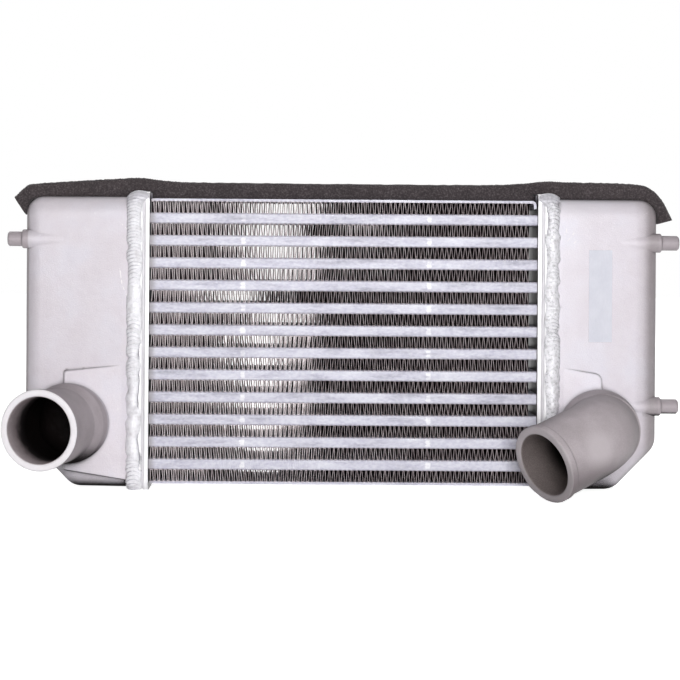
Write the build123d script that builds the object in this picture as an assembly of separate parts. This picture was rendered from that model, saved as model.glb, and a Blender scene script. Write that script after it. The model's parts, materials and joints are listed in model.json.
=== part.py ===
from build123d import *
import math
import os

# Air-to-air intercooler: a brazed tube-and-fin core between two cast end tanks.
# Millimetres. While the pieces are made, X runs across the core, -Y faces the front,
# Z is up and the origin is the centre of the core.

# ---- core ----
core_width = 310.0              # between the inner faces of the two headers
core_depth = 62.0
tube_count = 12
tube_height = 8.7
tube_wall = 0.9
tube_corner_radius = 1.4
tube_bore_corner = 0.5          # the same corners, inside the tube
tube_reach = 6.0                # how far a tube end passes the inner face of its header
fin_height = 9.2
fin_foil = 0.35
fin_fold_count = 44                  # full waves along one row of air fin
fin_front_setback = 1.0         # the fins stop this far behind the noses of the tubes
fin_left_margin = 1.0           # from the left header to the first fold
fin_right_margin = 6.5          # from the last fold to the right header
turbulator_foil = 0.5
turbulator_fold_count = 6
turbulator_clearance = 0.3      # between a turbulator's edges and the tube's side walls
turbulator_setback = 4.0        # from a tube's open end to its turbulator

# ---- side plates ----
plate_thickness = 2.0
plate_end_gap = 1.0             # between a straight plate end and its header
curl_radius = 3.5               # of the hooked end at the right
curl_drop = 3.0                 # straight part under the curl
swage_left = -124.0             # the pressed rib under the bottom plate
swage_right = 119.0
swage_height = 1.6
swage_width = 34.0
swage_chamfer = 1.0             # slope round the rib

# ---- headers ----
header_side = 3.5               # the header stands this far in front of and behind the tubes
header_end = 7.5                # and this far above and below the stack of tubes and fins
header_corner_radius = 7.0
header_plate = 3.0              # thickness of the slotted plate
header_rim = 3.0                # wall of the rim in front of and behind the tubes
header_rim_end = 6.5            # wall of the rim above and below them
header_length = 10.0            # along X, plate and rim together
header_groove_width = 1.8
header_groove_depth = 0.9
header_groove_place = 4.2       # from the inner face to the near side of the groove

# ---- weld beads ----
weld_width = 8.0
weld_proud = 1.0                # the bead stands this far outside the header's front face
weld_round = 1.8

# ---- end tanks ----
tank_wall = 4.0
tank_side_step = 1.5            # the tank lies this far inside its header, front and back
tank_top_step = 4.0
tank_bottom_step = 1.5
tank_draw_in = 8.0              # the front and the back come in this much, from header to end
left_tank_length = 91.0
right_tank_length = 88.5
tank_edge_radius = 14.0
tank_top_corner_radius = 14.0
left_tank_cut = 39.0            # the sloped lower corner, along each side
right_tank_cut = 35.0
tank_cut_radius = 17.0

# ---- raised pads round the pipes ----
pad_runs_out = 12.0             # from the header to where the flat of the pad meets the tank
pad_root_top = -19.0            # top edge of the pad at the header
pad_end_top = -25.0             # top edge of the pad at its outer end
pad_end_bottom = -103.0
pad_root_bottom = -111.0
pad_past_pipe = 2.0             # from the pipe's middle to the outer end of the pad
left_pad_corner_radius = 1.5
right_pad_corner_radius = 6.0
pad_draft = 14.0                # degrees
pad_sunk = 18.0                 # from the flat of the pad to its back, inside the tank

# ---- pipes ----
pipe_radius = 29.8              # outside
pipe_root_radius = 31.9
pipe_foot = 4.0                 # the plain foot between the pad and the taper
pipe_root_length = 14.0         # the taper from the root to the plain pipe
bead_length = 6.5
bead_round = 1.2
bore_mouth_chamfer = 0.8
left_bead_radius = 31.5
left_bore_radius = 26.0
elbow_bead_radius = 31.0
elbow_bore_radius = 24.8
left_pipe_from_header = 55.7    # from the outer face of the left header to the pipe's middle
left_pipe_height = -66.2
left_pipe_lean = 14.5           # degrees outwards from straight ahead
left_pipe_length = 57.0
elbow_from_header = 40.0        # from the outer face of the right header to the pipe's middle
elbow_height = -68.3
elbow_bend_radius = 44.0
elbow_bend_angle = 58.3         # degrees
elbow_dip = 21.5                # degrees below level, of the plane in which the pipe bends
elbow_straight = 43.0           # from the end of the bend to the mouth

# ---- mounting pegs ----
peg_radius = 5.9
peg_span = 540.0                # between the tips of the left and right pegs
peg_chamfer = 1.2
peg_boss_radius = 7.6
peg_boss_proud = 2.5            # how far the boss stands past the tank's end
peg_boss_length = 38.0
peg_forward = 20.2              # the peg's axis, in front of the mid-plane of the core
upper_peg_height = 81.0
right_lower_peg_height = -50.5
left_lower_peg_height = -60.0

# ---- foam seal along the top ----
foam_thickness = 13.0
foam_width = 26.0
foam_clearance = 0.3
foam_left_thickness = 9.5       # at the left bend, where the strip is pulled thin
foam_over_header = 11.0         # squeezed thickness over each header
foam_bend_radius = 14.0
foam_ramp = 27.0                # length over which the top climbs onto a header
foam_step = 12.0                # the same for the underside
foam_left_bend = 4.0            # the bends start this far inside the tanks' ends
foam_right_bend = 9.0
foam_left_tip = (11.0, -1.5)    # past the tank's end and above its top: where each end is cut
foam_left_heel = (1.5, -14.7)
foam_right_shoulder = (6.0, -1.0)
foam_right_tip = (14.0, -15.7)
foam_right_heel = (1.5, -19.0)

# ---- blank label ----
label_width = 18.8
label_length = 73.5
label_thickness = 0.3
label_from_header = 31.8
label_middle_height = 38.2

# ---- sizes that follow ----
row_pitch = fin_height + tube_height
stack_height = (tube_count + 1) * fin_height + tube_count * tube_height
header_inner_x = core_width / 2
header_outer_x = header_inner_x + header_length
tube_length = core_width + 2 * tube_reach
tube_bore_depth = core_depth - 2 * tube_wall
tube_bore_height = tube_height - 2 * tube_wall
plate_outer_z = stack_height / 2 + plate_thickness
header_depth = core_depth + 2 * header_side
header_height = stack_height + 2 * header_end
header_top_z = header_height / 2
tank_root_depth = header_depth - 2 * tank_side_step
tank_top = header_top_z - tank_top_step
tank_bottom = tank_bottom_step - header_top_z
pad_level = tank_root_depth / 2 - tank_draw_in * pad_runs_out / left_tank_length
pipe_start_level = pad_level + pipe_foot
left_tank_size = (left_tank_length, left_tank_cut)
right_tank_size = (right_tank_length, right_tank_cut)
hidden_root = 22.0              # length of pipe that is sunk in the tank before the tank is hollowed
on_base = (Align.CENTER, Align.CENTER, Align.MIN)


def fin_row_z(row):
    """Height of the middle of an air-fin row, counted from the bottom."""
    return -stack_height / 2 + fin_height / 2 + row * row_pitch


def tube_z(number):
    """Height of the middle of a charge tube, counted from the bottom."""
    return fin_row_z(number) + row_pitch / 2


def corrugated_sheet(length, height, width, folds, foil):
    """A folded foil: the wave lies in the local XY plane and the folds run along local Z."""
    run = length / (2 * folds)
    rise = foil * math.hypot(1, height / run)
    upper = []
    lower = []
    for k in range(2 * folds + 1):
        x = -length / 2 + k * run
        crest = height / 2 if k % 2 == 0 else rise - height / 2
        upper.append((x, crest))
        lower.append((x, crest - rise))
    return extrude(Polygon(*upper, *reversed(lower), align=None), amount=width / 2, both=True)


def air_fin():
    """One row of air fin, at the height of the core's middle."""
    left = -header_inner_x + fin_left_margin
    right = header_inner_x - fin_right_margin
    width = core_depth - 2 * fin_front_setback
    wave = corrugated_sheet(right - left, fin_height, width, fin_fold_count, fin_foil)
    return Pos((left + right) / 2, 0, 0) * Rot(90, 0, 0) * wave


def tube_section():
    """The flat tube's outline in the YZ plane."""
    return Plane.YZ * RectangleRounded(core_depth, tube_height, tube_corner_radius)


def charge_tube():
    """A flat tube, open at both ends."""
    outside = extrude(tube_section(), amount=tube_length / 2, both=True)
    bore = Plane.YZ * RectangleRounded(tube_bore_depth, tube_bore_height, tube_bore_corner)
    return outside - extrude(bore, amount=tube_length, both=True)


def turbulator():
    """The folded sheet inside a charge tube, with its folds along the air's path."""
    width = tube_bore_depth - 2 * (tube_bore_corner + turbulator_clearance)
    length = tube_length - 2 * turbulator_setback
    wave = corrugated_sheet(width, tube_bore_height, length, turbulator_fold_count, turbulator_foil)
    return Plane.YZ * wave


def outline(points, radii):
    """A closed flat face with the given corners, each rounded by its own radius."""
    return make_face(FilletPolyline(*points, radius=radii, close=True))


def front_prism(face, depth):
    """A face drawn in X and Z, made into a block that reaches depth to the front and the back."""
    return extrude(Plane.XZ * face, amount=depth, both=True)


def top_side_plate():
    """The flat top plate, whose right end hooks down between the fins and the header."""
    left = plate_end_gap - header_inner_x
    right = header_inner_x - plate_end_gap
    top = plate_outer_z
    under = top - plate_thickness
    tip = top - curl_radius - curl_drop
    points = [(left, top), (right, top), (right, tip),
              (right - plate_thickness, tip), (right - plate_thickness, under), (left, under)]
    radii = [0, curl_radius, 0, 0, curl_radius - plate_thickness, 0]
    return front_prism(outline(points, radii), core_depth / 2)


def bottom_side_plate():
    """The flat bottom plate with its pressed stiffening rib, which is hollow on the fin side."""
    length = core_width - 2 * plate_end_gap
    plate = Pos(0, 0, -plate_outer_z + plate_thickness / 2) * Box(length, core_depth, plate_thickness)
    middle = (swage_left + swage_right) / 2
    rib_length = swage_right - swage_left
    rib = Box(rib_length, swage_width, swage_height)
    rib = chamfer(rib.faces().sort_by(Axis.Z)[0].edges(), swage_chamfer)
    hollow = Box(rib_length - 2 * plate_thickness, swage_width - 2 * plate_thickness, swage_height)
    inner_z = -plate_outer_z + plate_thickness
    return (plate
            + Pos(middle, 0, -plate_outer_z - swage_height / 2) * rib
            - Pos(middle, 0, inner_z - swage_height / 2) * hollow)


def header_outline(shrink=0.0):
    """The header's outline in the YZ plane, drawn inwards by shrink."""
    corner = header_corner_radius - shrink
    return Plane.YZ * RectangleRounded(header_depth - 2 * shrink, header_height - 2 * shrink, corner)


def header():
    """The right header: a plate with a slot for each tube and a rim that carries the tank."""
    body = extrude(Pos(header_inner_x, 0, 0) * header_outline(), amount=header_length)
    hollow = Plane.YZ * RectangleRounded(header_depth - 2 * header_rim, header_height - 2 * header_rim_end,
                                         header_corner_radius - header_rim)
    tray = extrude(Pos(header_inner_x + header_plate, 0, 0) * hollow, amount=header_length)
    groove_x = header_inner_x + header_groove_place
    groove = extrude(Pos(groove_x, 0, 0) * header_outline(-header_groove_depth), amount=header_groove_width)
    groove -= extrude(Pos(groove_x, 0, 0) * header_outline(header_groove_depth), amount=header_groove_width)
    slot = extrude(Pos(header_inner_x, 0, 0) * tube_section(), amount=header_plate)
    slots = [Pos(0, 0, tube_z(k)) * slot for k in range(tube_count)]
    return body - tray - groove - slots


def tank_body(length, cut, shrink=0.0):
    """A right tank's block: tall, cut off at the lower corner and tapered from header to end."""
    root = header_outer_x
    end = root + length - shrink
    top = tank_top - shrink
    low = tank_bottom + shrink
    leg = cut - shrink * (2 - math.sqrt(2))
    points = [(root, low), (end - leg, low), (end, low + leg), (end, top), (root, top)]
    radii = [0, tank_cut_radius - shrink, tank_cut_radius - shrink, tank_top_corner_radius - shrink, 0]
    slope = tank_draw_in / length
    root_y = tank_root_depth / 2 - shrink
    end_y = root_y - slope * (end - root)
    plan = outline([(root, -root_y), (end, -end_y), (end, end_y), (root, root_y)], [0, 0, 0, 0])
    tall = extrude(plan, amount=tank_top - tank_bottom, both=True)
    block = front_prism(outline(points, radii), tank_root_depth) & tall
    sides = (block.faces().sort_by(Axis.Y)[0], block.faces().sort_by(Axis.Y)[-1])
    rims = [edge for side in sides for edge in side.edges() if edge.center().X > root + tank_wall]
    return fillet(rims, tank_edge_radius - shrink)


def pad(length, pipe_from_header, corner):
    """The flat raised land in front of a right tank, from the weld to the middle of the pipe."""
    root = header_outer_x + weld_width
    end = header_outer_x + pipe_from_header + pad_past_pipe
    points = [(root, pad_root_bottom), (end, pad_end_bottom), (end, pad_end_top), (root, pad_root_top)]
    flat = Plane.XZ * outline(points, [0, corner, corner, 0])
    land = extrude(Pos(0, -pad_level, 0) * flat, amount=-pad_sunk, taper=-pad_draft)
    limits = Box(length, 2 * pad_level, tank_top - tank_bottom, align=(Align.MIN, Align.CENTER, Align.MIN))
    return land & Pos(root, 0, tank_bottom) * limits


def peg(length, height):
    """A right mounting peg with the boss that it grows from."""
    boss_end = header_outer_x + length + peg_boss_proud
    tip = peg_span / 2
    boss_start = boss_end - peg_boss_length
    pin = Cylinder(peg_radius, tip - boss_start, align=on_base)
    pin = chamfer(pin.edges().sort_by(Axis.Z)[-1], peg_chamfer)
    boss = Cylinder(peg_boss_radius, peg_boss_length, align=on_base)
    boss = fillet(boss.edges().sort_by(Axis.Z)[-1], peg_chamfer)
    return Pos(boss_start, -peg_forward, height) * Rot(0, 90, 0) * (pin + boss)


def hose_bead(radius):
    """The raised ring at a pipe's mouth that keeps a clamped hose on."""
    ring = Cylinder(radius, bead_length, align=on_base)
    return fillet(ring.edges().group_by(Axis.Z)[0] + ring.edges().group_by(Axis.Z)[-1], bead_round)


def mouth_chamfer(bore_radius):
    """The cone that breaks the edge of a bore, with its wide end at the origin."""
    return Cone(bore_radius, bore_radius + bore_mouth_chamfer, bore_mouth_chamfer,
                align=(Align.CENTER, Align.CENTER, Align.MAX))


def pipe_root():
    """The thick foot of a pipe and the taper in front of it, along local Z."""
    foot = Pos(0, 0, -hidden_root) * Cylinder(pipe_root_radius, hidden_root, align=on_base)
    return foot + Cone(pipe_root_radius, pipe_radius, pipe_root_length, align=on_base)


def straight_pipe(length):
    """A solid tapered pipe along local Z, with its hose bead at the top."""
    shank = Pos(0, 0, -hidden_root) * Cylinder(pipe_radius, length + hidden_root, align=on_base)
    return shank + pipe_root() + Pos(0, 0, length - bead_length) * hose_bead(left_bead_radius)


def pipe_bore(length):
    """The straight pipe's bore along local Z, with a small chamfer at the mouth."""
    bore = Pos(0, 0, -hidden_root) * Cylinder(left_bore_radius, length + hidden_root, align=on_base)
    return bore + Pos(0, 0, length) * mouth_chamfer(left_bore_radius)


def left_pipe_place():
    """Where the left pipe's taper starts: looking forwards and leaning away from the core."""
    lean = math.radians(left_pipe_lean)
    start = (-header_outer_x - left_pipe_from_header, -pipe_start_level, left_pipe_height)
    return Plane(origin=start, x_dir=(0, 0, 1), z_dir=(-math.sin(lean), -math.cos(lean), 0))


def elbow_start():
    """Where the elbow's taper starts: looking straight ahead, local X towards its bend."""
    dip = math.radians(elbow_dip)
    start = (header_outer_x + elbow_from_header, -pipe_start_level, elbow_height)
    return Plane(origin=start, x_dir=(-math.cos(dip), 0, -math.sin(dip)), z_dir=(0, -1, 0))


def elbow_mouth():
    """Where the elbow ends: the middle of its mouth, looking out of it."""
    start = elbow_start()
    angle = math.radians(elbow_bend_angle)
    across = elbow_bend_radius * (1 - math.cos(angle)) + elbow_straight * math.sin(angle)
    ahead = elbow_bend_radius * math.sin(angle) + elbow_straight * math.cos(angle)
    out = start.x_dir * math.sin(angle) + start.z_dir * math.cos(angle)
    side = start.x_dir * math.cos(angle) - start.z_dir * math.sin(angle)
    return Plane(origin=start.origin + start.x_dir * across + start.z_dir * ahead, x_dir=side, z_dir=out)


def bent_bar(radius):
    """A round bar along the elbow's centre line, from inside the tank to the mouth."""
    start = elbow_start()
    mouth = elbow_mouth()
    root = start.origin - start.z_dir * hidden_root
    first = extrude(Plane(root, x_dir=start.x_dir, z_dir=start.z_dir) * Circle(radius), amount=hidden_root)
    hinge_point = start.origin + start.x_dir * elbow_bend_radius
    hinge = Axis(hinge_point, start.x_dir.cross(start.z_dir))
    bend = revolve(start * Circle(radius), axis=hinge, revolution_arc=-elbow_bend_angle)
    last = extrude(mouth * Circle(radius), amount=-elbow_straight)
    return first + bend + last


def elbow():
    """The solid elbow with its tapered root and its hose bead."""
    bead = Pos(0, 0, -bead_length) * hose_bead(elbow_bead_radius)
    return bent_bar(pipe_radius) + elbow_start() * pipe_root() + elbow_mouth() * bead


def elbow_bore():
    """The elbow's bore, with a small chamfer at the mouth."""
    return bent_bar(elbow_bore_radius) + elbow_mouth() * mouth_chamfer(elbow_bore_radius)


def mirrored(shape):
    """The same shape on the other side of the core."""
    return mirror(shape, about=Plane.YZ)


def left_tank():
    """The left end tank, cast in one with its pad, pipe and two pegs."""
    length = left_tank_length
    outside = tank_body(*left_tank_size) + pad(length, left_pipe_from_header, left_pad_corner_radius)
    outside += peg(length, upper_peg_height) + peg(length, left_lower_peg_height)
    outside = mirrored(outside) + left_pipe_place() * straight_pipe(left_pipe_length)
    hollow = mirrored(tank_body(*left_tank_size, tank_wall))
    return outside - hollow - left_pipe_place() * pipe_bore(left_pipe_length)


def right_tank():
    """The right end tank, cast in one with its pad, elbow and two pegs."""
    length = right_tank_length
    outside = tank_body(*right_tank_size) + pad(length, elbow_from_header, right_pad_corner_radius)
    outside += peg(length, upper_peg_height) + peg(length, right_lower_peg_height)
    outside += elbow()
    return outside - tank_body(*right_tank_size, tank_wall) - elbow_bore()


def weld_bead(tank_size):
    """The bead of weld that joins a right tank to its header, all the way round."""
    blank = Plane.YZ * RectangleRounded(header_depth + 2 * weld_proud, header_height, header_corner_radius)
    ring = extrude(Pos(header_outer_x, 0, 0) * blank, amount=weld_width)
    rims = ring.faces().sort_by(Axis.X)[-1].edges() + ring.faces().sort_by(Axis.X)[0].edges()
    ring = fillet(rims, weld_round)
    return ring - tank_body(*tank_size)


def label():
    """The blank label, lying flat on the sloped front of the right tank."""
    slope = math.atan2(tank_draw_in, right_tank_length)
    root = (header_outer_x, -tank_root_depth / 2, label_middle_height)
    along = (math.cos(slope), math.sin(slope), 0)
    front = Plane(origin=root, x_dir=along, z_dir=(math.sin(slope), -math.cos(slope), 0))
    middle = label_from_header + label_width / 2
    sticker = Box(label_width, label_length, label_thickness, align=(Align.CENTER, Align.CENTER, Align.MIN))
    return front * Pos(middle, 0, 0) * sticker


def foam_seal():
    """The foam strip laid over both tanks and the core, both ends bent down over the corners."""
    left_end = -header_outer_x - left_tank_length
    right_end = header_outer_x + right_tank_length
    on_tank = tank_top + foam_clearance
    on_header = header_top_z + foam_clearance
    on_core = plate_outer_z + foam_clearance
    crown_x = header_outer_x
    crown = on_header + foam_over_header
    weld_end = header_outer_x + weld_width + foam_clearance
    header_start = header_inner_x - foam_clearance
    top_line = [
        (left_end + foam_left_bend, on_tank + foam_left_thickness),
        (-crown_x, crown),
        (foam_ramp - crown_x, on_core + foam_thickness),
        (crown_x - foam_ramp, on_core + foam_thickness),
        (crown_x, crown),
        (right_end - foam_right_bend, on_tank + foam_thickness),
        (right_end + foam_right_shoulder[0], tank_top + foam_right_shoulder[1]),
    ]
    cut_right_end = [
        (right_end + foam_right_tip[0], tank_top + foam_right_tip[1]),
        (right_end + foam_right_heel[0], tank_top + foam_right_heel[1]),
    ]
    underside = [
        (right_end - foam_right_bend, on_tank),
        (weld_end + foam_step, on_tank),
        (weld_end, on_header),
        (header_start, on_header),
        (header_start - foam_step, on_core),
        (foam_step - header_start, on_core),
        (-header_start, on_header),
        (-weld_end, on_header),
        (-weld_end - foam_step, on_tank),
        (left_end + foam_left_bend, on_tank),
    ]
    cut_left_end = [
        (left_end - foam_left_heel[0], tank_top + foam_left_heel[1]),
        (left_end - foam_left_tip[0], tank_top + foam_left_tip[1]),
    ]
    sharp = cut_right_end + underside + cut_left_end
    points = top_line + sharp
    radii = [foam_bend_radius] * len(top_line) + [0] * len(sharp)
    strip = front_prism(outline(points, radii), foam_width / 2)
    grown_left = mirrored(tank_body(*left_tank_size, -foam_clearance))
    return strip - grown_left - tank_body(*right_tank_size, -foam_clearance)


def core_parts():
    """Every tube, turbulator and row of fin, counted from the top, and the side plates."""
    parts = {"top_side_plate": top_side_plate(), "bottom_side_plate": bottom_side_plate()}
    tube = charge_tube()
    inner = turbulator()
    fin = air_fin()
    for k in range(tube_count + 1):
        parts[f"air_fin_{k + 1:02d}"] = Pos(0, 0, fin_row_z(tube_count - k)) * fin
    for k in range(tube_count):
        height = tube_z(tube_count - 1 - k)
        parts[f"charge_tube_{k + 1:02d}"] = Pos(0, 0, height) * tube
        parts[f"turbulator_{k + 1:02d}"] = Pos(0, 0, height) * inner
    return parts


def all_parts():
    """Every node, with the origin in the middle of the core."""
    right_header = header()
    parts = core_parts()
    parts["left_header"] = mirrored(right_header)
    parts["right_header"] = right_header
    parts["left_tank"] = left_tank()
    parts["right_tank"] = right_tank()
    parts["left_weld_bead"] = mirrored(weld_bead(left_tank_size))
    parts["right_weld_bead"] = weld_bead(right_tank_size)
    parts["top_foam_seal"] = foam_seal()
    parts["label"] = label()
    return parts


parts = all_parts()
box = Compound(list(parts.values())).bounding_box()
to_base = Pos(-box.center().X, -box.center().Y, -box.min.Z)
os.makedirs("parts", exist_ok=True)
for name, shape in parts.items():
    export_step(to_base * shape, f"parts/{name}.step")
print("core centre in the row frame:", to_base.position)
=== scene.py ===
import json
import math

import bpy
import numpy as np
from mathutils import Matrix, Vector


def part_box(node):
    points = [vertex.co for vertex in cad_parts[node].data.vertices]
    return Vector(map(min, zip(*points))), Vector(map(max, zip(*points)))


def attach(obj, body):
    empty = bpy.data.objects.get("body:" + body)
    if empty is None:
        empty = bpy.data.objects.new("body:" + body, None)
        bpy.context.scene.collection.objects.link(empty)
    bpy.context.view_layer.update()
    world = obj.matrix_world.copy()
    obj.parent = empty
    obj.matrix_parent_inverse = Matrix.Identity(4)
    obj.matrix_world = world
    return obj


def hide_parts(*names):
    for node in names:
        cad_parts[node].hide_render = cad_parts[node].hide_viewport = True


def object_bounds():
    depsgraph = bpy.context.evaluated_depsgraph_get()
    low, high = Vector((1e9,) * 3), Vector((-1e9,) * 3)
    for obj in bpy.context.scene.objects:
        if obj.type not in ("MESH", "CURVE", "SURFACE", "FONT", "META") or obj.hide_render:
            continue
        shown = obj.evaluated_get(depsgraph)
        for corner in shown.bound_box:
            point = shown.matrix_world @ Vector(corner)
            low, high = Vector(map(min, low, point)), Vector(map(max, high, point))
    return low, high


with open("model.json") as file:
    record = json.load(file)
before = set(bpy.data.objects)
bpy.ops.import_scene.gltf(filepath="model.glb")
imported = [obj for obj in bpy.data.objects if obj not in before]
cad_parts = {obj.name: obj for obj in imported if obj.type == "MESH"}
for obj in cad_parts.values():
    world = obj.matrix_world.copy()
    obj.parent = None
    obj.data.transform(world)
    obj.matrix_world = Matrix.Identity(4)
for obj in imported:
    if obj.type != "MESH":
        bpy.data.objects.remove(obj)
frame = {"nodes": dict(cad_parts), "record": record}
cad_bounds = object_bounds()
nodes = frame["nodes"]

# ---- rows of air fin ----
# Each row is one long strip of thin aluminium foil, folded to and fro between two tubes.
# Its crests are brazed to the tubes, and the open edges at the front are easily bent.

fold_count = 81
foil = 0.00042
crest_width = 0.00075
lean_most = 0.0006
lean_places = (-0.154, -0.083, -0.059, -0.035, -0.007, 0.005, 0.045, 0.10, 0.15)
lean_usual = (-0.0003, -0.0007, -0.0001, 0.0006, 0.0004, -0.0004, -0.0003, 0.0, -0.0002)
spread_shares = (0.4, 0.9)
spread_usual = (0.0006, 0.0010)
spread_change = 0.9
fold_jitter = 0.00013
turn_height = 0.07
turn_run = 0.05
bent_depth = 0.0035
bent_usual = 0.00012
bent_hard = 0.0011
hard_bends_per_row = 3
hard_bend_places = (4, 2 * fold_count - 8)
hard_bend_widths = (2, 6)
row_slants = (-0.0002, -0.0006, -0.0003, -0.0004, -0.0017, -0.0004, -0.0010, -0.0010, -0.0011,
              -0.0011, -0.0012, -0.0012, -0.0012)
row_bows = (0.0004, 0.0006, 0.0005, 0.0008, 0.0006, 0.0007, 0.0007, 0.0007, 0.0007, 0.0006,
            0.0006, 0.0005, 0.0005)
# Where each fin row is clean and lit; outside these zones its folds get soot and painted shade.
clean_and_lit_zones = (((-0.103, -0.014, 1.0), (-0.137, -0.131, 1.0), (-0.014, 0.055, 0.3)),
               ((-0.113, -0.037, 1.0), (-0.003, 0.033, 0.9), (-0.014, 0.055, 0.3)),
               ((-0.106, -0.015, 1.0), (0.012, 0.026, 0.6), (-0.014, 0.050, 0.25)),
               ((-0.112, -0.016, 1.0), (-0.005, 0.010, 0.5), (-0.014, 0.045, 0.2)),
               ((-0.115, -0.072, 1.0), (-0.047, -0.041, 1.0)),
               ((-0.114, -0.019, 1.0),),
               ((-0.118, -0.019, 1.0),),
               ((-0.118, -0.021, 1.0),),
               ((-0.118, -0.025, 1.0),),
               ((-0.116, -0.021, 1.0),),
               ((-0.118, -0.027, 1.0),),
               ((-0.112, -0.019, 0.9), (-0.019, 0.050, 0.25)),
               ((-0.118, -0.075, 0.4), (-0.075, -0.018, 0.35)))
left_clean_and_lit_end = -0.102
left_clean_and_lit_fade = 0.008
zone_fade = 0.014
cut_edge_depth = 0.0011
cut_edge_full = 0.0002
fin_depths = np.array([0.0, 0.0007, 0.0018, 0.0036, 0.0065, 0.012, 0.022, 0.038, 0.052, 0.0565,
                       0.0593, 0.06])


def slow_noise(draw, places, bumps, rough=0.6):
    """A smooth random curve at places from 0 to 1: cosines of 1 to bumps half-waves, each with a
    random phase and a height that falls by rough for each step, scaled to stay within -1 and 1."""
    waves = np.arange(1, bumps + 1)
    heights = rough ** (waves - 1) * draw.uniform(0.5, 1.0, bumps)
    phases = draw.uniform(0, 2 * math.pi, bumps)
    curve = (heights * np.cos(np.outer(places, waves) * math.pi + phases)).sum(axis=1)
    return curve / heights.sum()


def grid_faces(rows, columns, rows_close=False, columns_close=False):
    """Four-cornered faces between neighbours on a grid of points that is numbered row by row."""
    first = np.arange(rows if rows_close else rows - 1)
    second = np.arange(columns if columns_close else columns - 1)
    row, column = (part.ravel() for part in np.meshgrid(first, second, indexing="ij"))
    next_row = (row + 1) % rows
    next_column = (column + 1) % columns
    return np.stack([row * columns + column, row * columns + next_column,
                     next_row * columns + next_column, next_row * columns + column], axis=1)


def mesh_object(name, points, faces, material, smooth=True):
    """A new object in the scene, with a mesh of an array of points and a list of faces."""
    mesh = bpy.data.meshes.new(name)
    mesh.from_pydata(points.tolist(), [], faces)
    mesh.validate()
    if smooth:
        mesh.shade_smooth()
    mesh.materials.append(material)
    added = bpy.data.objects.new(name, mesh)
    bpy.context.scene.collection.objects.link(added)
    return added


def new_piece(name, points, faces, material, replaced, smooth=True):
    """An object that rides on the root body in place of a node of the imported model."""
    piece = mesh_object(name, points, faces, material, smooth)
    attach(piece, "root")
    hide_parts(replaced)
    return piece


def fin_line(draw, left, right, low, high):
    """The foil's middle line in X and Z. Leg k goes straight from one crest line to the other at
    x = left + pitch * k. All legs of a stretch lean the same way, by the row's usual lean and a
    slow random amount, and neighbours also spread apart, so that each fold is narrow at its
    crest. Every leg has four points: its two ends, drawn out along the flats of the crests, and
    one just inside each of them. The third result is the number of each point's leg."""
    legs = np.arange(2 * fold_count + 1)
    share = legs / legs[-1]
    middle = left + (right - left) * share + draw.normal(0, fold_jitter, len(legs))
    lean = np.interp(middle, lean_places, lean_usual)
    lean = lean + lean_most * slow_noise(draw, share, bumps=9, rough=0.85)
    spread = spread_change * np.interp(share, spread_shares, spread_usual)
    spread = spread * (1 + slow_noise(draw, share, bumps=14, rough=0.9)) * (-1.0) ** legs
    foot = middle - (lean + spread) / 2
    head = middle + (lean + spread) / 2
    rising = legs % 2 == 0
    start = np.where(rising, foot, head)
    end = np.where(rising, head, foot)
    near = (high - low) * turn_height
    run = (end - start) * turn_run
    start_z = np.where(rising, low, high)
    end_z = np.where(rising, high, low)
    inward = np.where(rising, near, -near)
    x = np.stack([start, start + run, end - run, end], axis=1)
    z = np.stack([start_z, start_z + inward, end_z - inward, end_z], axis=1)
    x[:, 0] += crest_width / 4
    x[:, 3] -= crest_width / 4
    return x.ravel(), z.ravel(), np.repeat(legs, 4)


def fin_surface(draw, box, slant, bow):
    """The foil is its middle line, thickened along the line's normal, and carried from the front
    to the back, sideways by slant in all and by bow at half depth. Near either face each leg
    bulges sideways by a random amount, and a few short runs of legs by much more. The bulge dies
    away as exp(-depth / bent_depth), and is most at half height and nothing at the brazed crests.
    The second result is 1 on the foil's underside."""
    low_corner, high_corner = (np.array(corner) for corner in box)
    half = foil / 2
    x, z, leg = fin_line(draw, low_corner[0], high_corner[0], low_corner[2] + half,
                         high_corner[2] - half)
    along_x = np.gradient(x)
    along_z = np.gradient(z)
    length = np.hypot(along_x, along_z)
    ring_x = np.concatenate([x - along_z / length * half, (x + along_z / length * half)[::-1]])
    ring_z = np.concatenate([z + along_x / length * half, (z - along_x / length * half)[::-1]])
    ring_leg = np.concatenate([leg, leg[::-1]])
    middle_z = (low_corner[2] + high_corner[2]) / 2
    height = high_corner[2] - low_corner[2]
    belly = np.cos(math.pi * np.clip((ring_z - middle_z) / height, -0.5, 0.5))
    bend = draw.normal(0, bent_usual, (2, 2 * fold_count + 1))
    for side in range(2):
        for place in draw.integers(*hard_bend_places, hard_bends_per_row):
            width = draw.integers(*hard_bend_widths)
            push = draw.choice([-1, 1]) * bent_hard * draw.uniform(0.5, 1, width)
            bend[side, place:place + width] += push
    depth = fin_depths / fin_depths[-1] * (high_corner[1] - low_corner[1])
    from_front = np.exp(-depth / bent_depth)[:, None] * bend[0][ring_leg] * belly
    from_back = np.exp(-(depth[-1] - depth) / bent_depth)[:, None] * bend[1][ring_leg] * belly
    share = depth[:, None] / depth[-1]
    sideways = slant * (share - 0.5) + bow * np.sin(math.pi * share)
    points = np.empty((len(depth), len(ring_x), 3))
    points[:, :, 0] = np.clip(ring_x + sideways + from_front + from_back, low_corner[0],
                              high_corner[0])
    points[:, :, 1] = low_corner[1] + depth[:, None]
    points[:, :, 2] = np.clip(ring_z, low_corner[2], high_corner[2])
    underside = np.tile(np.repeat([0.0, 1.0], len(x)), (len(depth), 1))
    return points, underside


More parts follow.
